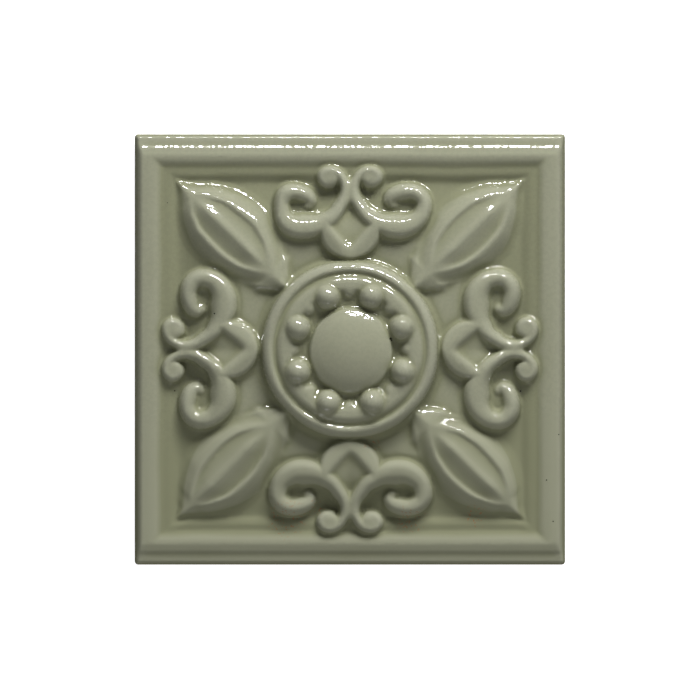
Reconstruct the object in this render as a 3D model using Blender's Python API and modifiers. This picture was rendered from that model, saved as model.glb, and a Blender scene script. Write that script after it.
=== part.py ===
# Square porcelain wall tile, pressed in one piece with a raised ornament.
# A moulded frame surrounds a field that rises towards the middle. The field holds a beaded
# rosette, a leaf in each corner, and a pair of scrolls with a petal on each side.
# Metres, +Z up. The tile lies on its back with the origin at the middle of the back.
# The frame and the ornament, apart from the round rosette, are laid out on a square and then
# shortened a little along Y. In one side's motif, x is across the side's middle line and y is
# away from the tile's centre.
import math

import bmesh
import bpy
from mathutils import Matrix, Vector

# Overall size
SIDE = 0.150
EDGE_HEIGHT = 0.0066
BACK_ARRIS = 0.0006
SHORTER_Y = 0.975

# Section from the frame's bevel inwards: distance from the middle line, and height
FRAME_SECTION = (
    (0.0726, 0.0107),
    (0.0717, 0.0111),
    (0.0696, 0.0113),
    (0.0681, 0.0110),
    (0.0667, 0.0100),
    (0.0655, 0.0093),
    (0.0613, 0.0091),
    (0.0603, 0.0085),
)
GROUND_SECTION = (
    (0.0588, 0.0087),
    (0.0530, 0.0104),
    (0.0450, 0.0121),
    (0.0380, 0.0133),
    (0.0310, 0.0147),
)
# Ornament shapes end inside the slab, at this height
SUNK = 0.0060

# Rosette, from the centre out: radius and height
BUTTON_RADIUS = 0.0136
BUTTON_TOP = 0.0226
BUTTON_DOME = 0.0024
BUTTON_RINGS = 4
ROSETTE_SECTION = (
    (0.0144, 0.0190),
    (0.0148, 0.0178),
    (0.0166, 0.0174),
    (0.0187, 0.0182),
    (0.0200, 0.0193),
    (0.0211, 0.0196),
    (0.0240, 0.0187),
    (0.0250, 0.0184),
    (0.0258, 0.0177),
    (0.0265, 0.0177),
    (0.0270, 0.0184),
    (0.0278, 0.0186),
    (0.0289, 0.0181),
    (0.0300, 0.0166),
    (0.0314, 0.0144),
    (0.0316, SUNK),
)
ROSETTE_STEPS = 40

# Beads and the small links between them, in the rosette's channel
BEADS = 8
BEAD_CIRCLE = 0.0196
BEAD_SIZE = Vector((0.0043, 0.0043, 0.0038))
BEAD_TOP = 0.0211
BEAD_SEGMENTS, BEAD_RINGS = 12, 7
LINK_CIRCLE = 0.0204
LINK_SIZE = Vector((0.0014, 0.0028, 0.0016))
LINK_TOP = 0.0201
LINK_SEGMENTS, LINK_RINGS = 8, 6

# Corner leaf, along its diagonal: distance from the tile's centre
LEAF_ROOT, LEAF_TIP = 0.0240, 0.0854
LEAF_WIDEST = 0.0590
LEAF_HALF_WIDTH = 0.0128
LEAF_INWARD_REACH = 0.0420
LEAF_INWARD_POWER = 1.1
LEAF_TIP_POWER = 0.72
LEAF_END_SHARE = 0.03
LEAF_STATIONS = 15
# Height of the leaf's rim above the ground
RIM_RELIEF = (
    (LEAF_ROOT, 0.0022),
    (0.0390, 0.0034),
    (0.0580, 0.0044),
    (0.0700, 0.0048),
    (0.0786, 0.0038),
    (LEAF_TIP, 0.0018),
)
# Pointed ovals: start, end and half width
RIM = (0.0386, 0.0790, 0.0075)
GROOVE = (0.0420, 0.0770, 0.0049)
OVAL_POWER = 0.75
RIM_SHOULDER = 0.0012
RIM_SHOULDER_DROP = 0.0004
GROOVE_DEPTH = 0.0014
RIDGE_RISE = 0.0021

# Scroll: half of one side's pair, from the small curl to the end of the large one.
# Across the side's middle line, away from the tile's centre, and half width at the ground
SCROLL_PATH = (
    (0.0107, 0.0612, 0.0021),
    (0.0098, 0.0641, 0.0023),
    (0.0062, 0.0650, 0.0023),
    (0.0030, 0.0625, 0.0023),
    (0.0021, 0.0585, 0.0023),
    (0.0028, 0.0545, 0.0024),
    (0.0047, 0.0497, 0.0027),
    (0.0080, 0.0456, 0.0037),
    (0.0130, 0.0432, 0.0050),
    (0.0184, 0.0429, 0.0054),
    (0.0233, 0.0449, 0.0048),
    (0.0258, 0.0488, 0.0043),
    (0.0250, 0.0533, 0.0042),
    (0.0213, 0.0562, 0.0041),
    (0.0172, 0.0555, 0.0034),
    (0.0150, 0.0525, 0.0027),
    (0.0153, 0.0500, 0.0022),
)
SCROLL_STEPS = 2
SCROLL_RELIEF = 0.0037
# The strand's section: share of the half width, and share of the relief
STRAND_SECTION = ((0.0, 1.0), (0.38, 0.92), (0.68, 0.66), (0.88, 0.30), (1.04, -0.15))

# Small curl: a knob inside the strand's turn. The large curl ends in a smaller one
CURL_KNOB = Vector((0.0076, 0.0604, 0.0085))
CURL_KNOB_SIZE = Vector((0.0044, 0.0046, 0.0043))
END_KNOB = Vector((0.0154, 0.0503, 0.0108))
END_KNOB_SIZE = Vector((0.0024, 0.0026, 0.0038))
KNOB_SEGMENTS, KNOB_RINGS = 12, 8

# Petal between the two scrolls: a half round that points at the rosette, with a V-shaped crest
PETAL_CENTRE = 0.0418
PETAL_RADIUS = 0.0100
PETAL_SHOULDER_RADIUS = 0.0091
PETAL_RELIEF = 0.0034
PETAL_SHOULDER_DROP = 0.0006
PETAL_CREST_APEX = 0.0357
PETAL_CREST_REACH = 0.0064
PETAL_CREST_SLOPE = 1.35
PETAL_CREST_ROUND = 0.0015
PETAL_HOLLOW_APEX = 0.0425
PETAL_HOLLOW_REACH = 0.0046
PETAL_HOLLOW_SLOPE = 0.6
PETAL_STATIONS = 11

GLAZE_COLOUR = (0.30, 0.31, 0.22, 1.0)
GLAZE_ROUGHNESS = 0.18
# Edges that turn by more than this stay sharp
SMOOTH_ANGLE = math.radians(40)


def clear_scene():
    for obj in list(bpy.data.objects):
        bpy.data.objects.remove(obj, do_unlink=True)


def new_collection(name):
    collection = bpy.data.collections.new(name)
    bpy.context.scene.collection.children.link(collection)
    return collection


def glaze_material():
    material = bpy.data.materials.new("sage_glaze")
    material.use_nodes = True
    shader = material.node_tree.nodes["Principled BSDF"]
    shader.inputs["Base Color"].default_value = GLAZE_COLOUR
    shader.inputs["Roughness"].default_value = GLAZE_ROUGHNESS
    shader.inputs["Metallic"].default_value = 0.0
    return material


def interpolate(points, place):
    """Straight-line reading of a list of (place, value), held level past its two ends."""
    ordered = sorted(points)
    if place <= ordered[0][0]:
        return ordered[0][1]
    for (low, low_value), (high, high_value) in zip(ordered, ordered[1:]):
        if place <= high:
            return low_value + (high_value - low_value) * (place - low) / (high - low)
    return ordered[-1][1]


def ground_height(x, y):
    """Height of the slab's face at a point of the square layout, from the frame's step inwards."""
    return interpolate(FRAME_SECTION + GROUND_SECTION, max(abs(x), abs(y)))


def object_from_bmesh(bm, name, collection):
    """Turns a bmesh into an object whose faces point outwards."""
    bmesh.ops.recalc_face_normals(bm, faces=bm.faces)
    mesh = bpy.data.meshes.new(name)
    bm.to_mesh(mesh)
    bm.free()
    mesh.shade_smooth()
    mesh.set_sharp_from_angle(angle=SMOOTH_ANGLE)
    obj = bpy.data.objects.new(name, mesh)
    collection.objects.link(obj)
    return obj


def add_copy(source, name, matrix, collection):
    """A separate copy of an object, moved by a matrix that may also mirror it."""
    mesh = source.data.copy()
    mesh.transform(matrix)
    if matrix.determinant() < 0:
        mesh.flip_normals()
    obj = bpy.data.objects.new(name, mesh)
    collection.objects.link(obj)
    return obj


def loft(name, sections, collection):
    """A closed body through a row of closed sections that have the same number of points."""
    bm = bmesh.new()
    rows = [[bm.verts.new(point) for point in section] for section in sections]
    for near, far in zip(rows, rows[1:]):
        for index in range(len(near)):
            before = index - 1
            bm.faces.new((near[before], near[index], far[index], far[before]))
    bm.faces.new(rows[0])
    bm.faces.new(rows[-1])
    return object_from_bmesh(bm, name, collection)


def raise_top(bm, face, half_x, half_y, height):
    """Extrudes the top face and sets its new outline, and returns the new top face."""
    made = bmesh.ops.extrude_discrete_faces(bm, faces=[face])["faces"][0]
    for vertex in made.verts:
        vertex.co.x = math.copysign(half_x, vertex.co.x)
        vertex.co.y = math.copysign(half_y, vertex.co.y)
        vertex.co.z = height
    return made


def framed_slab(collection):
    """The tile's body: a square slab whose top steps down over the frame and up to the middle."""
    half = SIDE / 2
    bm = bmesh.new()
    bmesh.ops.create_cube(bm, size=1.0)
    for vertex in bm.verts:
        inset = 0.0 if vertex.co.z > 0 else BACK_ARRIS
        vertex.co.x = math.copysign(half - inset, vertex.co.x)
        vertex.co.y = math.copysign(half - inset, vertex.co.y)
        vertex.co.z = BACK_ARRIS if vertex.co.z > 0 else 0.0
    top = max(bm.faces, key=lambda face: face.calc_center_median().z)
    top = raise_top(bm, top, half, half, EDGE_HEIGHT)
    for distance, height in FRAME_SECTION + GROUND_SECTION:
        top = raise_top(bm, top, distance, distance * SHORTER_Y, height)
    return object_from_bmesh(bm, "porcelain_tile", collection)


def rosette(collection):
    """The button, the channel round it and the grooved ring, turned about the tile's centre."""
    button = []
    for ring in range(BUTTON_RINGS + 1):
        share = ring / BUTTON_RINGS
        button.append((BUTTON_RADIUS * share, BUTTON_TOP - BUTTON_DOME * share**2))
    profile = button + list(ROSETTE_SECTION) + [(0.0, SUNK)]
    bm = bmesh.new()
    points = [bm.verts.new((radius, 0.0, height)) for radius, height in profile]
    for first, second in zip(points, points[1:]):
        bm.edges.new((first, second))
    mesh = bpy.data.meshes.new("rosette")
    bm.to_mesh(mesh)
    bm.free()
    obj = bpy.data.objects.new("rosette", mesh)
    collection.objects.link(obj)
    screw = obj.modifiers.new("turn", "SCREW")
    screw.steps = screw.render_steps = ROSETTE_STEPS
    screw.use_merge_vertices = True
    screw.merge_threshold = 0.00001
    return obj


def ellipsoid(name, centre, size, turn, segments, rings, collection):
    """A sphere primitive scaled to half sizes along its own axes, turned about Z and placed."""
    bm = bmesh.new()
    bmesh.ops.create_uvsphere(bm, u_segments=segments, v_segments=rings, radius=1.0)
    placing = Matrix.Translation(centre) @ Matrix.Rotation(turn, 4, "Z") @ Matrix.Diagonal((*size, 1.0))
    bmesh.ops.transform(bm, matrix=placing, verts=bm.verts)
    return object_from_bmesh(bm, name, collection)


def bead_ring(collection):
    """Beads half a step off the axes, with a link in each gap between two beads."""
    step = 2 * math.pi / BEADS
    for index in range(BEADS):
        bead_turn = (index + 0.5) * step
        link_turn = index * step
        bead = Vector((BEAD_CIRCLE, 0.0, BEAD_TOP - BEAD_SIZE.z))
        link = Vector((LINK_CIRCLE, 0.0, LINK_TOP - LINK_SIZE.z))
        bead.rotate(Matrix.Rotation(bead_turn, 3, "Z"))
        link.rotate(Matrix.Rotation(link_turn, 3, "Z"))
        ellipsoid(f"bead_{index}", bead, BEAD_SIZE, bead_turn, BEAD_SEGMENTS, BEAD_RINGS, collection)
        ellipsoid(f"link_{index}", link, LINK_SIZE, link_turn, LINK_SEGMENTS, LINK_RINGS, collection)


def oval_share(distance, start, end):
    """How far a pointed oval is open at a distance: one in its middle, zero at its two ends."""
    middle = (start + end) / 2
    share = (distance - middle) / (end - middle)
    if abs(share) >= 1:
        return 0.0
    return math.cos(math.pi / 2 * share) ** OVAL_POWER


def leaf_outline(distance):
    """Half width of the leaf at the ground, which narrows faster towards the tip than inwards."""
    outwards = distance > LEAF_WIDEST
    reach = LEAF_TIP - LEAF_WIDEST if outwards else LEAF_INWARD_REACH
    power = LEAF_TIP_POWER if outwards else LEAF_INWARD_POWER
    share = min(1.0, abs(distance - LEAF_WIDEST) / reach)
    return LEAF_HALF_WIDTH * max(LEAF_END_SHARE, math.cos(math.pi / 2 * share) ** power)


def leaf_section(distance):
    """Half of the leaf's section at one distance: places across it and heights, from the middle out."""
    diagonal = distance / math.sqrt(2)
    foot = leaf_outline(distance)
    foot_offset = foot / math.sqrt(2)
    foot_height = ground_height(diagonal - foot_offset, diagonal + foot_offset)
    crest = ground_height(diagonal, diagonal) + interpolate(RIM_RELIEF, distance)
    rim = RIM[2] * oval_share(distance, RIM[0], RIM[1])
    open_share = oval_share(distance, GROOVE[0], GROOVE[1])
    dip = crest - GROOVE_DEPTH * min(1.0, 2 * open_share)
    shoulder = max(min(rim + RIM_SHOULDER, 0.6 * (foot + rim)), 0.4 * foot)
    shoulder_height = crest - RIM_SHOULDER_DROP
    # The flank runs on below the ground at the same slope
    sunk_share = (shoulder_height - SUNK) / max(shoulder_height - foot_height, RIM_SHOULDER_DROP)
    return (
        (0.0, dip + RIDGE_RISE * open_share),
        (max(GROOVE[2] * open_share, 0.1 * foot), dip),
        (max(rim, 0.2 * foot), crest),
        (shoulder, shoulder_height),
        (shoulder + (foot - shoulder) * sunk_share, SUNK),
    )


def leaf(collection):
    """One corner leaf as a loft along the diagonal of +X and +Y."""
    diagonal = Matrix.Rotation(math.pi / 4, 3, "Z")
    sections = []
    for station in range(LEAF_STATIONS):
        share = station / (LEAF_STATIONS - 1)
        distance = LEAF_ROOT + (LEAF_TIP - LEAF_ROOT) * (1 - math.cos(math.pi * share)) / 2
        half = leaf_section(distance)
        whole = [(-across, height) for across, height in reversed(half[1:])] + list(half)
        sections.append([diagonal @ Vector((distance, across, height)) for across, height in whole])
    return loft("leaf", sections, collection)


def petal(collection):
    """The petal between two scrolls, lofted from one scroll round to the other."""
    sections = []
    for station in range(PETAL_STATIONS):
        turn = math.pi * (station / (PETAL_STATIONS - 1) - 0.5)
        outward = Vector((math.sin(turn), -math.cos(turn), 0.0))
        centre = Vector((0.0, PETAL_CENTRE, 0.0))
        foot = centre + outward * PETAL_RADIUS
        shoulder = centre + outward * PETAL_SHOULDER_RADIUS
        crest_x = PETAL_CREST_REACH * math.sin(turn)
        crest_rise = math.hypot(PETAL_CREST_SLOPE * crest_x, PETAL_CREST_ROUND) - PETAL_CREST_ROUND
        crest = Vector((crest_x, PETAL_CREST_APEX + crest_rise, 0.0))
        hollow_x = PETAL_HOLLOW_REACH * math.sin(turn)
        hollow = Vector((hollow_x, PETAL_HOLLOW_APEX + PETAL_HOLLOW_SLOPE * abs(hollow_x), SUNK))
        crest.z = ground_height(crest.x, crest.y) + PETAL_RELIEF
        shoulder.z = ground_height(shoulder.x, shoulder.y) + PETAL_RELIEF - PETAL_SHOULDER_DROP
        foot.z = SUNK
        inner_slope = crest.lerp(hollow, 0.65)
        inner_slope.z = ground_height(inner_slope.x, inner_slope.y) + PETAL_RELIEF / 4
        sections.append([foot, shoulder, crest, inner_slope, hollow])
    return loft("petal", sections, collection)


def smooth_path(points, steps):
    """Catmull-Rom curve through the points, with a number of steps between two of them."""
    vectors = [Vector(point) for point in points]
    padded = [2 * vectors[0] - vectors[1], *vectors, 2 * vectors[-1] - vectors[-2]]
    path = []
    for before, start, end, after in zip(padded, padded[1:], padded[2:], padded[3:]):
        for step in range(steps):
            t = step / steps
            bend = (2 * before - 5 * start + 4 * end - after) * t**2
            twist = (3 * start - before - 3 * end + after) * t**3
            path.append((2 * start + (end - before) * t + bend + twist) / 2)
    path.append(vectors[-1])
    return path


def strand(name, points, relief, collection):
    """A rounded strand that follows a path over the ground, as wide as each point says."""
    path = smooth_path(points, SCROLL_STEPS)
    sections = []
    for index, place in enumerate(path):
        ahead = path[min(index + 1, len(path) - 1)]
        behind = path[max(index - 1, 0)]
        side = Vector((behind.y - ahead.y, ahead.x - behind.x)).normalized()
        crest_ground = ground_height(place.x, place.y)
        half = []
        for across, rise in STRAND_SECTION:
            half.append((across * place.z, crest_ground + rise * relief))
        half.append((half[-1][0], SUNK))
        whole = [(-across, height) for across, height in reversed(half[1:])] + half
        sections.append([(place.x + side.x * a, place.y + side.y * a, height) for a, height in whole])
    return loft(name, sections, collection)


def half_scroll_pair(collection):
    """The right half of one side's pair of scrolls, for the side towards +Y."""
    scroll = strand("scroll", SCROLL_PATH, SCROLL_RELIEF, collection)
    curl = ellipsoid("curl_knob", CURL_KNOB, CURL_KNOB_SIZE, 0.0, KNOB_SEGMENTS, KNOB_RINGS, collection)
    end = ellipsoid("end_knob", END_KNOB, END_KNOB_SIZE, 0.0, KNOB_SEGMENTS, KNOB_RINGS, collection)
    return [scroll, curl, end]


def place_ornament(collection):
    """Copies the leaf to the corners and the motif to the sides, and shortens both along Y."""
    paired = half_scroll_pair(collection)
    corner_leaf = leaf(collection)
    side_petal = petal(collection)
    shorten = Matrix.Diagonal((1.0, SHORTER_Y, 1.0, 1.0))
    mirror = Matrix.Diagonal((-1.0, 1.0, 1.0, 1.0))
    for quarter in range(4):
        turn = shorten @ Matrix.Rotation(quarter * math.pi / 2, 4, "Z")
        add_copy(corner_leaf, f"leaf_{quarter}", turn, collection)
        add_copy(side_petal, f"petal_{quarter}", turn, collection)
        for piece in paired:
            add_copy(piece, f"{piece.name}_{quarter}_right", turn, collection)
            add_copy(piece, f"{piece.name}_{quarter}_left", turn @ mirror, collection)
    for piece in [*paired, side_petal, corner_leaf]:
        bpy.data.objects.remove(piece)


def main():
    clear_scene()
    tile_collection = new_collection("porcelain_tile")
    ornament = new_collection("ornament_shapes")
    tile = framed_slab(tile_collection)
    tile.data.materials.append(glaze_material())
    rosette(ornament)
    bead_ring(ornament)
    place_ornament(ornament)
    for obj in ornament.objects:
        obj.hide_render = True
        obj.display_type = "WIRE"
    union = tile.modifiers.new("ornament", "BOOLEAN")
    union.operation = "UNION"
    union.operand_type = "COLLECTION"
    union.collection = ornament
    union.solver = "EXACT"
    union.use_self = True


main()
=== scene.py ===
import math
import bmesh
import bpy
from mathutils import Matrix, Vector


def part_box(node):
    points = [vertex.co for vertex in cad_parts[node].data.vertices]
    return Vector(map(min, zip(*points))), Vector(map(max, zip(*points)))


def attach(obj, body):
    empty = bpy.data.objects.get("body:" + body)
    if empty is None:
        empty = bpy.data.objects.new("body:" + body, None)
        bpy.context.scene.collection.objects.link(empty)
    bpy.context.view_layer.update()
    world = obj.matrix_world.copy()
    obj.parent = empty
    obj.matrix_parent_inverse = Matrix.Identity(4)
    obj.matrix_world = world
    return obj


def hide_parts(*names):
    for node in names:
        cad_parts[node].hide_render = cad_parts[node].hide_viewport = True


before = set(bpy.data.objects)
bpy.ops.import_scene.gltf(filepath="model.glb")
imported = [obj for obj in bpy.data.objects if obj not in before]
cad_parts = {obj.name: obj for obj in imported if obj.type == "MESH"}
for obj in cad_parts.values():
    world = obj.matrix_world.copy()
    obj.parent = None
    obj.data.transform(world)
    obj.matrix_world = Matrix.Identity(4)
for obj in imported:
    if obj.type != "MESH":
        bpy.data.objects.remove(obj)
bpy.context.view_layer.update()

lowCorner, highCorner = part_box("porcelain_tile")
print("frame loaded, tile", [round(c * 1000, 1) for c in highCorner - lowCorner], "mm")


class Value:
    # wraps one socket, so that an expression on it adds Math nodes
    def __init__(self, graph, socket):
        self.graph = graph
        self.socket = socket

    def __add__(self, other):
        return self.graph.math("ADD", self, other)

    def __radd__(self, other):
        return self.graph.math("ADD", other, self)

    def __sub__(self, other):
        return self.graph.math("SUBTRACT", self, other)

    def __rsub__(self, other):
        return self.graph.math("SUBTRACT", other, self)

    def __mul__(self, other):
        return self.graph.math("MULTIPLY", self, other)

    def __rmul__(self, other):
        return self.graph.math("MULTIPLY", other, self)

    def __truediv__(self, other):
        return self.graph.math("DIVIDE", self, other)

    def __rtruediv__(self, other):
        return self.graph.math("DIVIDE", other, self)

    def __pow__(self, other):
        return self.graph.math("POWER", self, other)

    def __abs__(self):
        return self.graph.math("ABSOLUTE", self)


class Graph:
    # one node tree: node adds any node to it, and the others are short ways to the usual ones
    def __init__(self, tree):
        self.tree = tree

    def node(self, kind, settings=None, sockets=None, output=0):
        made = self.tree.nodes.new(kind)
        count = len(self.tree.nodes)
        made.location = (count % 14 * 190, -(count // 14) * 260)
        for name, value in (settings or {}).items():
            if name == "profile":
                setProfile(made.mapping, value)
            else:
                setattr(made, name, value)
        for name, value in (sockets or {}).items():
            target = pickSocket(made.inputs, name)
            if isinstance(value, Value):
                self.tree.links.new(value.socket, target)
            else:
                target.default_value = value
        return Value(self, pickSocket(made.outputs, output))

    def math(self, operation, *values):
        return self.node("ShaderNodeMath", {"operation": operation}, dict(enumerate(values)))

    def vector(self, operation, *values, output=0):
        return self.node("ShaderNodeVectorMath", {"operation": operation}, dict(enumerate(values)), output)

    def scale(self, vector, factor):
        sockets = {"Vector": vector, "Scale": factor}
        return self.node("ShaderNodeVectorMath", {"operation": "SCALE"}, sockets)

    def axis(self, vector, name):
        return self.node("ShaderNodeSeparateXYZ", {}, {"Vector": vector}, name)

    def point(self, x, y, z=0.0):
        return self.node("ShaderNodeCombineXYZ", {}, {"X": x, "Y": y, "Z": z})

    def most(self, first, second):
        return self.math("MAXIMUM", first, second)

    def least(self, first, second):
        return self.math("MINIMUM", first, second)

    def smoothMost(self, first, second, width):
        return self.math("SMOOTH_MAX", first, second, width)

    def smoothLeast(self, first, second, width):
        return self.math("SMOOTH_MIN", first, second, width)

    def length(self, x, y):
        return self.math("SQRT", x * x + y * y)

    def remap(self, value, start, end, low, high, kind="LINEAR"):
        sockets = {"Value": value, "From Min": start, "From Max": end, "To Min": low, "To Max": high}
        return self.node("ShaderNodeMapRange", {"interpolation_type": kind}, sockets)

    def grow(self, value, start, end):
        return self.remap(value, start, end, 0.0, 1.0)

    def easeIn(self, value, start, end):
        return self.remap(value, start, end, 0.0, 1.0, "SMOOTHSTEP")

    def easeOut(self, value, start, end):
        return self.remap(value, start, end, 1.0, 0.0, "SMOOTHSTEP")

    def lookUp(self, value, points, slopePastEnd=0.0):
        # smooth reading of a list of (distance, height), which may fall on past its last point
        nearest, farthest = points[0][0], points[-1][0]
        highest = max(height for _, height in points)
        whole = farthest - nearest
        scaled = [((distance - nearest) / whole, height / highest) for distance, height in points]
        share = self.grow(value, nearest, farthest)
        height = self.node("ShaderNodeFloatCurve", {"profile": scaled}, {"Value": share}) * highest
        if slopePastEnd:
            height = height - self.most(value - farthest, 0.0) * slopePastEnd
        return height

    def mix(self, factor, first, second):
        sockets = {"Factor": factor, "A": first, "B": second}
        return self.node("ShaderNodeMix", {"data_type": "RGBA"}, sockets, "Result")


def pickSocket(sockets, name):
    if isinstance(name, int):
        return sockets[name]
    return next(s for s in sockets if s.name == name and s.enabled)


def setProfile(mapping, points):
    curve = mapping.curves[0]
    while len(curve.points) < len(points):
        curve.points.new(0.5, 0.5)
    for spot, (across, height) in zip(curve.points, points):
        spot.location = (across, height)
        spot.handle_type = "AUTO_CLAMPED"
    mapping.update()


# millimetres throughout the relief, and profiles are lists of (distance, height)
tile = {
    "side": round((highCorner.x - lowCorner.x) * 1000, 3),
    "rows": 296,
    # the ornament is a little shorter up and down than across
    "shorterY": 0.975,
    "cornerRound": 1.3,
    "backArris": 0.6,
    # hand pressing leaves the ornament slightly out of true, which fades out over the frame
    "wander": 1.4,
    "wanderSize": 34.0,
    "wanderSeed": 4.7,
    "wanderFade": (60.0, 70.0),
    # places where the pressing is pulled aside: across, up, reach, pull across, pull up
    "pulls": [(-27.5, 50.5, 13.0, -2.2, 0.0), (20.0, 50.5, 10.0, -1.3, 0.0)],
    # blur passes: how much the glaze rounds the edges, and how far around a point its pooling looks
    "softening": 1,
    "softeningWeight": 0.8,
    "poolSpread": 26,
    "mergeDistance": 0.00001,
    "sharpAngle": 50.0,
    # the shortest length that anything is divided by
    "hair": 0.001,
}


def roundedSheet(graph, given, millimetres):
    # a flat grid whose four corners are a little round
    sheet = graph.node("GeometryNodeMeshGrid", {}, {
        "Size X": given["Side"], "Size Y": given["Side"],
        "Vertices X": given["Rows"], "Vertices Y": given["Rows"],
    }, "Mesh")
    x, y = graph.axis(millimetres, "X"), graph.axis(millimetres, "Y")
    cornerStart = tile["side"] / 2 - tile["cornerRound"]
    overX = graph.most(abs(x) - cornerStart, tile["hair"])
    overY = graph.most(abs(y) - cornerStart, tile["hair"])
    inCorner = graph.math("GREATER_THAN", graph.least(overX, overY), tile["hair"])
    drawnIn = (graph.most(overX, overY) / graph.length(overX, overY) - 1.0) * inCorner
    roundX = graph.math("SIGN", x) * (abs(x) + overX * drawnIn)
    roundY = graph.math("SIGN", y) * (abs(y) + overY * drawnIn)
    flat = graph.point(roundX / 1000.0, roundY / 1000.0)
    return graph.node("GeometryNodeSetPosition", {}, {"Geometry": sheet, "Position": flat})


def handPressed(graph, given, millimetres):
    # where the ornament is read, once the wander and the pulls have moved it
    fromMiddle = graph.most(abs(graph.axis(millimetres, "X")), abs(graph.axis(millimetres, "Y")))
    noise = graph.node("ShaderNodeTexNoise", {"noise_dimensions": "4D"}, {
        "Vector": millimetres, "W": tile["wanderSeed"], "Scale": 1.0 / tile["wanderSize"], "Detail": 1.0,
    }, "Color")
    shift = graph.vector("SUBTRACT", noise, (0.5, 0.5, 0.5))
    strength = given["Wander"] * graph.remap(fromMiddle, *tile["wanderFade"], 1.0, 0.0)
    moved = graph.vector("ADD", millimetres, graph.scale(shift, strength))
    for pullX, pullY, reach, byX, byY in tile["pulls"]:
        gap = graph.vector("DISTANCE", millimetres, (pullX, pullY, 0.0), output="Value")
        pulled = graph.scale((byX, byY, 0.0), graph.easeOut(gap, 0.0, reach))
        moved = graph.vector("ADD", moved, pulled)
    return moved


class Place:
    # a point of the tile, folded into the one eighth that is worked out: the rest is its mirror image
    def __init__(self, graph, moved):
        self.x, self.y = graph.axis(moved, "X"), graph.axis(moved, "Y")
        self.trueX, self.trueY = abs(self.x), abs(self.y)
        squareY = self.trueY / tile["shorterY"]
        self.away = graph.most(self.trueX, squareY)
        self.across = graph.least(self.trueX, squareY)


border = {
    # heights inwards from the edge: the left and right bevels are steeper than the other two
    "sideBevel": [
        (0, 6.6), (0.5, 8.3), (1.0, 9.1), (1.5, 9.95), (2.0, 10.7), (2.6, 11.2), (3.6, 11.6), (6, 12.6),
    ],
    "endBevel": [
        (0, 6.6), (0.5, 8.8), (1.0, 9.35), (2.0, 9.54), (3.0, 9.72), (3.8, 9.9), (4.2, 10.05), (4.65, 10.41),
        (5.0, 10.57), (5.6, 10.74), (6.5, 11.0), (9, 12.0),
    ],
    # heights outwards from the middle: the mound under the ornament, the step and the flat of the frame
    "ground": [
        (0, 14.9), (24, 14.8), (28.5, 14.6), (31, 14.05), (34, 13.0), (38, 11.9), (42, 11.05), (47, 10.3),
        (52, 9.6), (55, 9.1), (57.5, 8.68), (59.2, 8.55), (60.2, 8.78), (61.0, 9.13), (61.8, 9.5),
        (62.6, 9.76), (63.6, 9.86), (64.8, 9.93), (65.4, 10.1), (66.1, 10.42), (66.9, 10.78), (67.6, 11.04),
        (68.7, 11.22), (69.9, 11.3), (71.5, 11.25), (77, 11.0),
    ],
    # the step below the ornament leans down towards the frame: its slope, where the step is, and the
    # distances from there and from the corner's diagonal over which the lean fades out
    "lean": 0.2,
    "stepMiddle": 62.6,
    "stepFade": (1.4, 3.2),
    "cornerFade": 5.0,
    "bevelBlend": 0.4,
    "groundBlend": 0.35,
}


def borderHeight(graph, place):
    ground = graph.lookUp(place.away, border["ground"])
    fromStep = border["stepMiddle"] - place.away
    onStep = graph.easeOut(abs(fromStep), *border["stepFade"])
    below = graph.easeIn(-1.0 * place.y - place.trueX, 0.0, border["cornerFade"])
    ground = ground + fromStep * border["lean"] * onStep * below
    half = tile["side"] / 2
    sideBevel = graph.lookUp(half - place.trueX, border["sideBevel"])
    endBevel = graph.lookUp(half - place.trueY, border["endBevel"])
    bevel = graph.smoothLeast(sideBevel, endBevel, border["bevelBlend"])
    return graph.smoothLeast(ground, bevel, border["groundBlend"])


rosette = {
    "section": [
        (0, 16.5), (15.2, 16.6), (17.6, 16.7), (18.9, 17.1), (19.8, 18.0), (20.6, 18.75), (21.8, 19.1),
        (23.4, 19.1), (24.1, 18.88), (25.1, 18.27), (25.6, 17.8), (26.25, 17.4), (26.9, 17.85), (27.6, 18.35),
        (28.1, 18.4), (28.6, 18.17), (29.8, 17.35), (30.2, 16.6), (30.6, 15.3), (31.0, 13.9), (33, 11.0),
    ],
    "skirtSlope": 1.0,
    # the angles are those that fall inside one eighth
    "links": {"circle": 20.9, "radius": 2.9, "top": 18.95, "rise": 1.4, "angles": (0.0, 45.0), "blend": 0.9},
    "beads": {"circle": 19.9, "radius": 5.2, "top": 22.1, "rise": 5.4, "angles": (22.5,), "blend": 0.4},
    "knobPower": 2.4,
    # the dome sits a little off the middle
    "domeMiddle": (0.3, -0.6),
    "dome": [
        (0, 22.6), (3, 22.45), (5, 22.17), (7.5, 21.63), (9.5, 21.04), (11.2, 20.38), (12.4, 19.78),
        (13.1, 19.38), (13.7, 19.1), (14.2, 18.85), (14.6, 18.2), (15.0, 16.9), (15.4, 15.4), (16, 13.0),
    ],
    "domeSlope": 4.0,
    "domeBlend": 0.3,
    "blend": 0.6,
}


def knobHeight(graph, place, knobs):
    # round knobs on a circle about the middle. Nothing is ever lower than the back, at 0
    roundAway = graph.most(place.trueX, place.trueY)
    roundAcross = graph.least(place.trueX, place.trueY)
    highest = 0.0
    for degrees in knobs["angles"]:
        turn = math.radians(degrees)
        besideX = roundAway - knobs["circle"] * math.cos(turn)
        besideY = roundAcross - knobs["circle"] * math.sin(turn)
        share = graph.length(besideX, besideY) / knobs["radius"]
        highest = graph.most(highest, knobs["top"] - share ** rosette["knobPower"] * knobs["rise"])
    return highest


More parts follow.
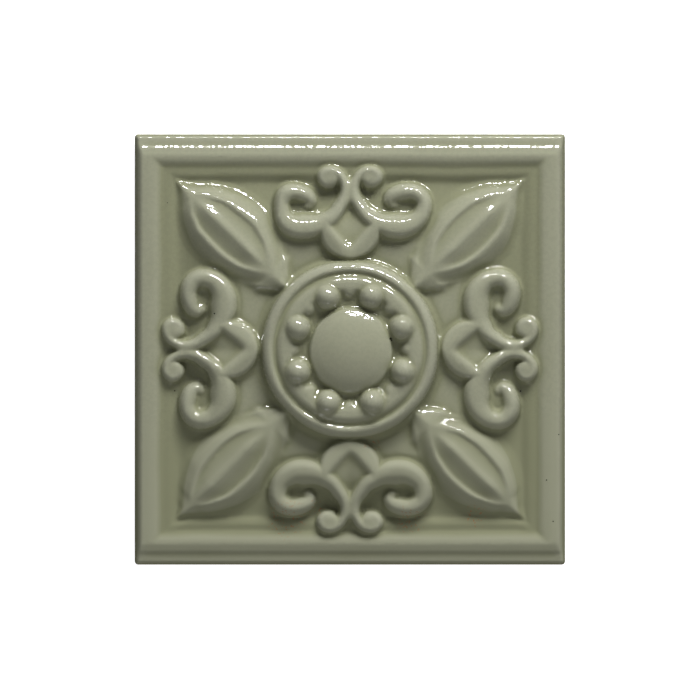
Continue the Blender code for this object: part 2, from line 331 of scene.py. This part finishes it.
def rosetteHeight(graph, place):
    radius = graph.length(place.x, place.y)
    height = graph.lookUp(radius, rosette["section"], rosette["skirtSlope"])
    for knobs in (rosette["links"], rosette["beads"]):
        height = graph.smoothMost(height, knobHeight(graph, place, knobs), knobs["blend"])
    middleX, middleY = rosette["domeMiddle"]
    domeRadius = graph.length(place.x - middleX, place.y - middleY)
    dome = graph.lookUp(domeRadius, rosette["dome"], rosette["domeSlope"])
    return graph.smoothMost(height, dome, rosette["domeBlend"])


leaf = {
    # along the diagonal: height of the rim, and half widths of the rim and the foot
    "crest": [
        (22, 14.4), (29, 15.0), (33, 15.3), (37, 15.5), (41, 15.5), (48, 15.1), (58, 14.4), (66, 13.8),
        (72, 13.1), (78.6, 11.8), (84.2, 10.0), (89, 8.0), (92, 6.8),
    ],
    "rim": [
        (22, 0.2), (36, 0.25), (38.2, 0.5), (40.7, 1.9), (44.9, 4.4), (50.9, 6.8), (57.6, 7.7), (64.3, 7.3),
        (70.7, 5.3), (76.0, 2.4), (78.9, 0.4), (81, 0.2), (90, 0.2),
    ],
    "foot": [
        (22, 1.5), (29, 2.0), (32, 2.8), (36, 4.8), (40, 7.4), (45.5, 10.7), (52.5, 13.4), (59, 14.6),
        (64.7, 14.4), (69, 13.0), (74.4, 10.2), (79.1, 6.2), (85.4, 1.2), (90, 0.4),
    ],
    # share of the way out over the flank, and share of its drop
    "flank": [(0, 0), (0.1, 0.06), (0.25, 0.2), (0.5, 0.5), (0.75, 0.8), (0.9, 0.95), (1, 1)],
    "flankLeastWidth": 0.5,
    "flankLeastDrop": 1.5,
    "slopePastFoot": 3.0,
    # the groove inside the rim, closing towards both ends of its span, with a vein down its middle
    "grooveSpan": (40.8, 77.4),
    "grooveClosing": 0.45,
    "grooveShare": 0.83,
    "grooveDepth": 0.7,
    "grooveLeastWidth": 0.05,
    "veinRise": 2.5,
    "veinPower": 1.5,
    "veinRound": 0.012,
    "blend": 1.5,
}


def leafHeight(graph, place):
    along = (place.away + place.across) * math.sqrt(0.5)
    beside = (place.away - place.across) * math.sqrt(0.5)
    crest = graph.lookUp(along, leaf["crest"])
    rim = graph.lookUp(along, leaf["rim"])
    foot = graph.lookUp(along, leaf["foot"])

    # the flank falls from the rim to the ground at the leaf's foot
    footHeight = graph.lookUp((along + foot) * math.sqrt(0.5), border["ground"])
    flankWidth = graph.most(foot - rim, leaf["flankLeastWidth"])
    outward = graph.most((beside - rim) / flankWidth, 0.0)
    pastFoot = graph.most(outward - 1.0, 0.0) * leaf["slopePastFoot"]
    fallen = graph.lookUp(graph.least(outward, 1.0), leaf["flank"]) + pastFoot
    flank = crest - fallen * graph.most(crest - footHeight, leaf["flankLeastDrop"])

    start, end = leaf["grooveSpan"]
    fromGrooveMiddle = abs(along - (start + end) / 2) / ((end - start) / 2)
    openness = graph.easeOut(fromGrooveMiddle, leaf["grooveClosing"], 1.0)
    groove = graph.most(rim * leaf["grooveShare"], leaf["grooveLeastWidth"])
    grooveShare = beside / groove
    fromVein = graph.math("SQRT", grooveShare * grooveShare + leaf["veinRound"])
    vein = (1.0 - graph.least(fromVein, 1.0)) ** leaf["veinPower"] * leaf["veinRise"]
    wallWidth = graph.most(rim - groove, leaf["grooveLeastWidth"])
    climb = graph.easeIn((beside - groove) / wallWidth, 0.0, 1.0)
    inside = vein - (1.0 - climb) * leaf["grooveDepth"]
    return flank + inside * openness * graph.math("LESS_THAN", beside, rim)


petal = {
    # the spade-shaped outline: its middle, half width and how square it is
    "middle": 41.7,
    "width": 10.2,
    "outlinePower": 1.7,
    # the fold that runs down it, how far it spreads sideways, and how round its tip is
    "fold": 33.6,
    "foldSpread": 1.28,
    "foldRound": 2.5,
    # height across the fold, from the outer band to the hollow
    "section": [
        (-9, 14.2), (-4, 15.1), (-2.2, 15.6), (-1.2, 15.8), (-0.2, 15.78), (0.6, 15.35), (1.4, 14.55),
        (2.2, 14.1), (3.2, 13.8), (4.5, 13.45), (6, 12.9), (8, 11.9), (10, 10.6), (12, 9.2),
    ],
    # the wall that ends it: height at its reach, the reach as a share of the outline, and its slope
    "wallHeight": 12.0,
    "wallReach": 1.12,
    "wallSlope": 1.9,
    "wallBlend": 0.7,
    "blend": 0.5,
}


def petalHeight(graph, place):
    roundAside = graph.math("SQRT", place.across * place.across + petal["foldRound"])
    fold = place.away - petal["fold"] - roundAside * petal["foldSpread"]
    height = graph.lookUp(fold / math.hypot(1.0, petal["foldSpread"]), petal["section"])
    power = petal["outlinePower"]
    acrossShare = place.across / petal["width"]
    awayShare = abs(place.away - petal["middle"]) / petal["width"]
    outlineShare = (acrossShare**power + awayShare**power) ** (1.0 / power)
    wall = petal["wallHeight"] + (petal["wallReach"] - outlineShare) * petal["width"] * petal["wallSlope"]
    return graph.smoothLeast(height, wall, petal["wallBlend"])


scroll = {
    # crest lines of the raised strands: across, away from the centre, reach to the left, reach to the
    # right, height. Left is the inside of the scroll's turn
    "strands": {
        "curl": {
            "fall": 4.2,
            "power": 2.3,
            "points": [
                (6.4, 58.9, 2.8, 2.2, 12.3), (8.2, 59.1, 3.2, 2.2, 12.6), (9.6, 60.3, 3.6, 2.2, 12.8),
                (9.8, 62.0, 3.8, 2.3, 12.9), (8.7, 63.4, 3.8, 2.3, 13.0), (6.9, 63.9, 3.8, 2.3, 13.0),
                (5.0, 63.4, 3.6, 2.3, 13.0), (3.4, 62.1, 2.9, 2.3, 13.1), (2.3, 60.0, 2.4, 3.0, 13.3),
                (1.7, 57.4, 2.3, 6.5, 13.6), (1.8, 54.9, 2.5, 5.0, 14.0), (2.5, 52.4, 2.9, 3.4, 14.5),
                (3.7, 50.2, 3.3, 3.0, 14.9),
            ],
        },
        "belly": {
            "fall": 4.6,
            "power": 2.6,
            "points": [
                (3.7, 50.2, 3.2, 3.0, 14.9), (5.0, 48.2, 3.6, 3.0, 15.3), (6.6, 46.4, 4.2, 3.2, 15.6),
                (8.6, 44.9, 4.8, 3.5, 15.6), (10.8, 43.7, 5.5, 3.8, 15.7), (13.3, 42.9, 6.1, 4.0, 15.8),
                (15.9, 42.6, 6.4, 4.1, 15.8), (18.5, 42.8, 6.3, 4.1, 15.7), (20.9, 43.7, 6.0, 4.0, 15.5),
                (23.0, 45.3, 5.5, 3.9, 15.2), (24.6, 47.4, 5.0, 3.8, 14.8), (25.4, 49.9, 4.7, 3.7, 14.4),
            ],
        },
        "arc": {
            "fall": 4.2,
            "power": 2.4,
            "points": [
                (25.4, 49.9, 4.7, 3.7, 14.4), (25.4, 52.1, 4.6, 3.6, 14.2), (24.5, 54.1, 4.5, 3.5, 14.0),
                (22.8, 55.5, 4.3, 3.5, 14.0), (20.7, 56.2, 4.1, 3.4, 13.9), (18.4, 56.1, 4.0, 3.4, 13.8),
                (16.2, 55.5, 4.1, 3.3, 13.5), (14.7, 54.5, 4.2, 3.3, 13.1), (14.0, 53.1, 4.3, 3.3, 12.6),
                (14.3, 51.8, 4.2, 3.3, 11.9),
            ],
        },
    },
    # distance between the points of a guide
    "guideSpacing": 0.25,
    # the disc that closes each small curl, and the shallow floor inside each scroll's end
    "pads": [
        {"across": 6.9, "away": 61.5, "radius": 3.9, "top": 12.9, "rise": 2.4},
        {"across": 17.6, "away": 51.2, "radius": 6.2, "top": 10.9, "rise": 1.8},
    ],
    "padPower": 4.0,
    "padBlend": 0.5,
    "blend": 0.9,
}


def strandGuide(name, points):
    # a row of points along the crest line, each with what the relief reads there
    rows = [Vector(p) for p in points]
    padded = [2 * rows[0] - rows[1], *rows, 2 * rows[-1] - rows[-2]]
    path = []
    for before, start, end, after in zip(padded, padded[1:], padded[2:], padded[3:]):
        steps = max(2, round((end.to_2d() - start.to_2d()).length / scroll["guideSpacing"]))
        for step in range(steps):
            t = step / steps
            bend = (2 * before - 5 * start + 4 * end - after) * t**2
            twist = (3 * start - before - 3 * end + after) * t**3
            path.append((2 * start + (end - before) * t + bend + twist) / 2)
    path.append(rows[-1])
    mesh = bpy.data.meshes.new(name)
    mesh.from_pydata([(p[0], p[1], 0.0) for p in path], [], [])
    for column, attribute in ((2, "leftReach"), (3, "rightReach"), (4, "crest")):
        layer = mesh.attributes.new(attribute, "FLOAT", "POINT")
        layer.data.foreach_set("value", [p[column] for p in path])
    layer = mesh.attributes.new("leftWay", "FLOAT_VECTOR", "POINT")
    for index, entry in enumerate(layer.data):
        ahead = path[min(index + 1, len(path) - 1)]
        behind = path[max(index - 1, 0)]
        entry.vector = Vector((behind[1] - ahead[1], ahead[0] - behind[0], 0.0)).normalized()
    guide = bpy.data.objects.new(name, mesh)
    bpy.context.scene.collection.objects.link(guide)
    return guide


def strandHeight(graph, guide, spot, strand):
    asMade = {"transform_space": "ORIGINAL"}
    points = graph.node("GeometryNodeObjectInfo", asMade, {"Object": guide}, "Geometry")
    sockets = {"Geometry": points, "Sample Position": spot}
    nearest = graph.node("GeometryNodeSampleNearest", {"domain": "POINT"}, sockets)

    def sample(kind, field):
        sockets = {"Geometry": points, "Value": field, "Index": nearest}
        return graph.node("GeometryNodeSampleIndex", {"data_type": kind, "domain": "POINT"}, sockets)

    def attribute(kind, name):
        field = graph.node("GeometryNodeInputNamedAttribute", {"data_type": kind}, {"Name": name})
        return sample(kind, field)

    crestPlace = sample("FLOAT_VECTOR", graph.node("GeometryNodeInputPosition"))
    away = graph.vector("SUBTRACT", spot, crestPlace)
    distance = graph.vector("LENGTH", away, output="Value")
    sideways = graph.vector("DOT_PRODUCT", away, attribute("FLOAT_VECTOR", "leftWay"), output="Value")
    leftShare = sideways / graph.most(distance, tile["hair"]) * 0.5 + 0.5
    rightReach = attribute("FLOAT", "rightReach")
    reach = rightReach + (attribute("FLOAT", "leftReach") - rightReach) * leftShare
    return attribute("FLOAT", "crest") - (distance / reach) ** strand["power"] * strand["fall"]


def scrollHeight(graph, place, given):
    spot = graph.point(place.across, place.away)
    height = 0.0
    for name, strand in scroll["strands"].items():
        height = graph.most(height, strandHeight(graph, given[name + " guide"], spot, strand))
    for pad in scroll["pads"]:
        share = graph.length(place.across - pad["across"], place.away - pad["away"]) / pad["radius"]
        padHeight = pad["top"] - share ** scroll["padPower"] * pad["rise"]
        height = graph.smoothMost(height, padHeight, scroll["padBlend"])
    return height


def wallTo(graph, mesh, rim, target):
    # carries the mesh's open rim on to the target, and gives the mesh and its new rim. The offset is
    # linked, because an unlinked one follows the normals
    sockets = {"Mesh": mesh, "Selection": rim, "Offset": graph.point(0.0, 0.0, -0.001)}
    longer = graph.node("GeometryNodeExtrudeMesh", {"mode": "EDGES"}, sockets, "Mesh")
    newRim = Value(graph, longer.socket.node.outputs["Top"])
    sockets = {"Geometry": longer, "Selection": newRim, "Position": target}
    return graph.node("GeometryNodeSetPosition", {}, sockets), newRim


def closedBody(graph, sheet, position):
    # upright sides, the small arris round the back, and the back
    x, y = graph.axis(position, "X"), graph.axis(position, "Y")
    facesOnEdge = graph.node("GeometryNodeInputMeshEdgeNeighbors")
    rim = graph.math("LESS_THAN", facesOnEdge, 1.5)  # an open edge has one face
    inset = 1.0 - tile["backArris"] / (tile["side"] / 2)
    body, rim = wallTo(graph, sheet, rim, graph.point(x, y, tile["backArris"] / 1000.0))
    body, rim = wallTo(graph, body, rim, graph.point(x * inset, y * inset, 0.0))
    backLine = graph.node("GeometryNodeMeshToCurve", {}, {"Mesh": body, "Selection": rim})
    back = graph.node("GeometryNodeFillCurve", {}, {"Curve": backLine})
    back = graph.node("GeometryNodeFlipFaces", {}, {"Mesh": back})
    joined = graph.tree.nodes.new("GeometryNodeJoinGeometry")
    for shell in (back, body):
        graph.tree.links.new(shell.socket, joined.inputs[0])
    sockets = {"Geometry": Value(graph, joined.outputs[0]), "Distance": tile["mergeDistance"]}
    return graph.node("GeometryNodeMergeByDistance", {}, sockets)


def reliefTree():
    tree = bpy.data.node_groups.new("tileRelief", "GeometryNodeTree")
    tree.interface.new_socket("Geometry", in_out="OUTPUT", socket_type="NodeSocketGeometry")
    kinds = {"Side": "Float", "Rows": "Int", "Wander": "Float", "Softening": "Int", "Glaze": "Material"}
    kinds.update({name + " guide": "Object" for name in scroll["strands"]})
    for name, kind in kinds.items():
        tree.interface.new_socket(name, in_out="INPUT", socket_type="NodeSocket" + kind)
    graph = Graph(tree)
    inputs = tree.nodes.new("NodeGroupInput")
    given = {name: Value(graph, inputs.outputs[name]) for name in kinds}

    position = graph.node("GeometryNodeInputPosition")
    millimetres = graph.vector("MULTIPLY", position, (1000.0, 1000.0, 1000.0))
    sheet = roundedSheet(graph, given, millimetres)
    place = Place(graph, handPressed(graph, given, millimetres))
    height = borderHeight(graph, place)
    height = graph.smoothMost(height, rosetteHeight(graph, place), rosette["blend"])
    height = graph.smoothMost(height, leafHeight(graph, place), leaf["blend"])
    height = graph.smoothMost(height, petalHeight(graph, place), petal["blend"])
    height = graph.smoothMost(height, scrollHeight(graph, place, given), scroll["blend"])

    # glaze rounds every edge and lies deeper in the recesses
    sockets = {"Value": height, "Iterations": given["Softening"], "Weight": tile["softeningWeight"]}
    soft = graph.node("GeometryNodeBlurAttribute", {}, sockets)
    spread = graph.node("GeometryNodeBlurAttribute", {}, {"Value": soft, "Iterations": tile["poolSpread"]})
    sockets = {"Geometry": sheet, "Name": "glazePool", "Value": spread - soft}
    onPoints = {"data_type": "FLOAT", "domain": "POINT"}
    sheet = graph.node("GeometryNodeStoreNamedAttribute", onPoints, sockets)
    raised = graph.point(graph.axis(position, "X"), graph.axis(position, "Y"), soft / 1000.0)
    sheet = graph.node("GeometryNodeSetPosition", {}, {"Geometry": sheet, "Position": raised})

    whole = closedBody(graph, sheet, position)
    whole = graph.node("GeometryNodeRealizeInstances", {}, {"Geometry": whole})
    whole = graph.node("GeometryNodeSetMaterial", {}, {"Geometry": whole, "Material": given["Glaze"]})
    outputs = tree.nodes.new("NodeGroupOutput")
    tree.links.new(whole.socket, outputs.inputs[0])
    print("relief tree built:", len(tree.nodes), "nodes")
    return tree


# metres, unless it says otherwise. A pair is where something starts and where it is complete
glaze = {
    "body": (0.272, 0.277, 0.198, 1.0),
    "ridge": (0.300, 0.305, 0.230, 1.0),
    "pool": (0.205, 0.211, 0.132, 1.0),
    "biscuit": (0.62, 0.56, 0.47, 1.0),
    "iron": (0.30, 0.12, 0.05, 1.0),
    # painted shade: the near-black inside the pinholes
    "pitShade": (0.03, 0.03, 0.02, 1.0),
    # slow clouds that make each border uneven
    "cloudSize": 0.022,
    # millimetres below the surroundings: the glaze pools there, and is thin where that is negative
    "pooling": (-0.15, 0.4),
    "thinning": (-0.3, -1.3),
    "poolingCloud": 0.4,
    # the sunk step and valley lie under thicker glaze, up to this height and this far from the middle
    "sunkTop": (0.0101, 0.01095),
    "sunkEnd": (0.0685, 0.0695),
    "sunkCloud": 0.0006,
    # the ragged end of the glaze, above the foot
    "bareTop": (0.0010, 0.0012),
    "bareSize": 0.004,
    "bareRagged": 0.0009,
    # roughness
    "gloss": 0.07,
    "satin": 0.34,
    "biscuitRoughness": 0.85,
    # the gloss turns duller towards the bottom edge, this far below the middle
    "dulling": (0.019, 0.033),
    "dullingCloud": 0.03,
    "glossLost": 0.985,
    # the mirror gloss breaks up into small patches
    "dappleSize": 0.0013,
    "dappleEdge": (0.49, 0.53),
    "dappleLeast": 0.02,
    "waveSize": 0.0026,
    "waveDepth": 0.00004,
    # pinholes, each a shallow dent painted near-black as the shade inside it, in millimetres: across, up,
    # radius
    "pits": [
        (14.1, 3.7, 0.42), (14.4, 3.1, 0.26), (-47.0, 12.4, 0.28), (-61.0, -14.4, 0.24), (59.4, -14.5, 0.26),
        (70.6, -59.8, 0.22), (68.3, -45.4, 0.22), (72.6, -29.6, 0.2), (-63.5, 51.0, 0.16),
    ],
    "pitSoftness": 0.3,
    "pitDepth": 0.00012,
    # patches of small iron specks, in millimetres: across, up, radius of the patch
    "speckPatches": [
        (-22.0, -59.0, 5.5), (-11.5, -55.0, 2.6), (21.0, -59.0, 4.2), (43.6, -58.0, 3.4), (7.6, -33.2, 2.2),
    ],
    "patchSoftness": 0.5,
    "speckSize": 0.0009,
    "speckEdge": (0.62, 0.66),
    "speckStrength": 0.6,
}


def glazeMaterial():
    material = bpy.data.materials.new("sageGlaze")
    material.use_nodes = True
    graph = Graph(material.node_tree)
    shader = material.node_tree.nodes["Principled BSDF"]
    place = graph.node("ShaderNodeTexCoord", {}, {}, "Object")
    x, y, high = (graph.axis(place, name) for name in "XYZ")
    flatMillimetres = graph.vector("MULTIPLY", place, (1000.0, 1000.0, 0.0))

    def noise(size, detail=2.0):
        sockets = {"Vector": place, "Scale": 1.0 / size, "Detail": detail}
        return graph.node("ShaderNodeTexNoise", {}, sockets, "Fac")

    def spots(marks, softness):
        # 1 inside any of the marks, fading to 0 past their rims
        total = 0.0
        for across, up, radius in marks:
            reach = graph.vector("DISTANCE", flatMillimetres, (across, up, 0.0), output="Value")
            total = total + graph.grow(reach, radius * (1.0 + softness), radius * (1.0 - softness))
        return graph.least(total, 1.0)

    cloud = noise(glaze["cloudSize"], 3.0) - 0.5
    lieBelow = graph.node("ShaderNodeAttribute", {"attribute_name": "glazePool"}, {}, "Fac")
    lieBelow = lieBelow + cloud * glaze["poolingCloud"]
    inFrame = 1.0 - graph.grow(graph.most(abs(x), abs(y)), *glaze["sunkEnd"])
    sunk = (1.0 - graph.grow(high + cloud * glaze["sunkCloud"], *glaze["sunkTop"])) * inFrame
    deep = graph.most(graph.grow(lieBelow, *glaze["pooling"]), sunk)
    thin = graph.grow(lieBelow, *glaze["thinning"])
    colour = graph.mix(deep, glaze["body"], glaze["pool"])
    colour = graph.mix(thin, colour, glaze["ridge"])
    speckle = graph.grow(noise(glaze["speckSize"], 1.0), *glaze["speckEdge"])
    speckle = speckle * spots(glaze["speckPatches"], glaze["patchSoftness"])
    colour = graph.mix(speckle * glaze["speckStrength"], colour, glaze["iron"])
    pits = spots(glaze["pits"], glaze["pitSoftness"])
    # the pinholes get painted shade, near-black inside each hole
    colour = graph.mix(pits, colour, glaze["pitShade"])
    ragged = high + (noise(glaze["bareSize"]) - 0.5) * glaze["bareRagged"]
    bare = 1.0 - graph.grow(ragged, *glaze["bareTop"])
    colour = graph.mix(bare, colour, glaze["biscuit"])

    lower = graph.easeIn(cloud * glaze["dullingCloud"] - y, *glaze["dulling"])
    roughness = glaze["gloss"] + lower * (glaze["satin"] - glaze["gloss"])
    roughness = roughness + bare * (glaze["biscuitRoughness"] - roughness)
    dapple = graph.remap(noise(glaze["dappleSize"]), *glaze["dappleEdge"], glaze["dappleLeast"], 1.0)
    coat = dapple * (1.0 - lower * glaze["glossLost"]) * (1.0 - bare)
    relief = noise(glaze["waveSize"]) * glaze["waveDepth"] - pits * glaze["pitDepth"]
    bump = graph.node("ShaderNodeBump", {}, {"Strength": 1.0, "Distance": 1.0, "Height": relief})
    links = material.node_tree.links
    links.new(colour.socket, shader.inputs["Base Color"])
    links.new(roughness.socket, shader.inputs["Roughness"])
    links.new(coat.socket, shader.inputs["Coat Weight"])
    links.new(bump.socket, shader.inputs["Normal"])
    # the coat alone mirrors, so that its patches break up the highlights
    shader.inputs["IOR"].default_value = 1.5
    shader.inputs["Specular IOR Level"].default_value = 0.0
    shader.inputs["Coat Roughness"].default_value = glaze["gloss"]
    print("glaze mixed:", len(material.node_tree.nodes), "nodes")
    return material


def pressTile():
    tree = reliefTree()
    piece = bpy.data.objects.new("pressed_tile", bpy.data.meshes.new("pressed_tile"))
    bpy.context.scene.collection.objects.link(piece)
    guides = {}
    for name, strand in scroll["strands"].items():
        guides[name + " guide"] = strandGuide(name + "Guide", strand["points"])
    values = {
        "Side": tile["side"] / 1000, "Rows": tile["rows"], "Wander": tile["wander"],
        "Softening": tile["softening"], "Glaze": glazeMaterial(), **guides,
    }
    modifier = piece.modifiers.new("relief", "NODES")
    modifier.node_group = tree
    for item in tree.interface.items_tree:
        if item.in_out == "INPUT":
            modifier[item.identifier] = values[item.name]
    depsgraph = bpy.context.evaluated_depsgraph_get()
    mesh = bpy.data.meshes.new_from_object(piece.evaluated_get(depsgraph))
    piece.modifiers.clear()
    piece.data = mesh
    for guide in guides.values():
        bpy.data.objects.remove(guide)
    bm = bmesh.new()
    bm.from_mesh(mesh)
    bmesh.ops.recalc_face_normals(bm, faces=bm.faces)
    for face in bm.faces:
        # the flat back stays flat
        face.smooth = face.normal.z > -0.9
    openEdges = sum(1 for edge in bm.edges if len(edge.link_faces) != 2)
    bm.to_mesh(mesh)
    bm.free()
    mesh.set_sharp_from_angle(angle=math.radians(tile["sharpAngle"]))
    triangles = sum(len(face.vertices) - 2 for face in mesh.polygons)
    print("tile pressed:", triangles, "triangles,", openEdges, "open edges")
    return piece


pressedTile = pressTile()
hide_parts("porcelain_tile")
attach(pressedTile, "root")


white = (1.0, 1.0, 1.0, 1.0)
stage = {
    "floorSize": 6.0,
    # a hair below the back, so that the two faces don't coincide
    "floorHeight": -0.0001,
    "floorColour": (0.93, 0.93, 0.92, 1.0),
    "floorRoughness": 0.9,
    "floorGlow": 0.75,
    "skyStrength": 0.23,
}


def makeFloor():
    bm = bmesh.new()
    lowered = Matrix.Translation((0.0, 0.0, stage["floorHeight"]))
    bmesh.ops.create_grid(bm, x_segments=1, y_segments=1, size=stage["floorSize"] / 2, matrix=lowered)
    mesh = bpy.data.meshes.new("floor")
    bm.to_mesh(mesh)
    bm.free()
    floor = bpy.data.objects.new("floor", mesh)
    bpy.context.scene.collection.objects.link(floor)
    material = bpy.data.materials.new("paleFloor")
    material.use_nodes = True
    shader = material.node_tree.nodes["Principled BSDF"]
    shader.inputs["Base Color"].default_value = stage["floorColour"]
    shader.inputs["Roughness"].default_value = stage["floorRoughness"]
    shader.inputs["Emission Color"].default_value = white
    shader.inputs["Emission Strength"].default_value = stage["floorGlow"]
    mesh.materials.append(material)
    # the bright floor neither mirrors in the glaze nor lights the edges
    floor.visible_glossy = False
    floor.visible_diffuse = False


def makeSky():
    world = bpy.data.worlds.new("softSky")
    world.use_nodes = True
    background = world.node_tree.nodes["Background"]
    background.inputs["Color"].default_value = white
    background.inputs["Strength"].default_value = stage["skyStrength"]
    bpy.context.scene.world = world


# the soft box and the fill do the lighting, and the window and the card are what the gloss mirrors
lights = {
    "softBox": {"place": (0.24, 0.93, 0.52), "size": (0.75, 0.36), "power": 18.2, "mirrored": False},
    "fill": {"place": (0.10, -0.90, 0.60), "size": (0.80, 0.60), "power": 2.7, "mirrored": False},
    "window": {"place": (0.22, 0.93, 0.55), "size": (0.85, 0.14), "power": 60.0, "mirrored": True},
    "whiteCard": {"place": (-0.08, -0.80, 0.15), "size": (0.70, 0.22), "power": 0.8, "mirrored": True},
}


def makeLights():
    for name, light in lights.items():
        lamp = bpy.data.lights.new(name, "AREA")
        lamp.shape = "RECTANGLE"
        lamp.size, lamp.size_y = light["size"]
        lamp.energy = light["power"]
        lampObject = bpy.data.objects.new(name, lamp)
        lampObject.location = light["place"]
        lampObject.rotation_euler = (-Vector(light["place"])).to_track_quat("-Z", "Y").to_euler()
        lampObject.visible_camera = False
        lampObject.visible_diffuse = not light["mirrored"]
        lampObject.visible_glossy = light["mirrored"]
        bpy.context.scene.collection.objects.link(lampObject)


# straight above the tile: the frame is this wide at the height of the aim
view = {"lens": 200.0, "sensor": 36.0, "frameWidth": 0.2441, "aim": (0.00003, -0.0002, 0.0066)}


def makeCamera():
    camera = bpy.data.cameras.new("overhead")
    camera.lens = view["lens"]
    camera.sensor_width = view["sensor"]
    cameraObject = bpy.data.objects.new("overhead", camera)
    distance = view["frameWidth"] * view["lens"] / view["sensor"]
    cameraObject.location = Vector(view["aim"]) + Vector((0.0, 0.0, distance))
    bpy.context.scene.collection.objects.link(cameraObject)
    bpy.context.scene.camera = cameraObject


makeFloor()
makeSky()
makeLights()
makeCamera()
bpy.context.scene.view_settings.view_transform = "Standard"
print("floor, light and camera ready")
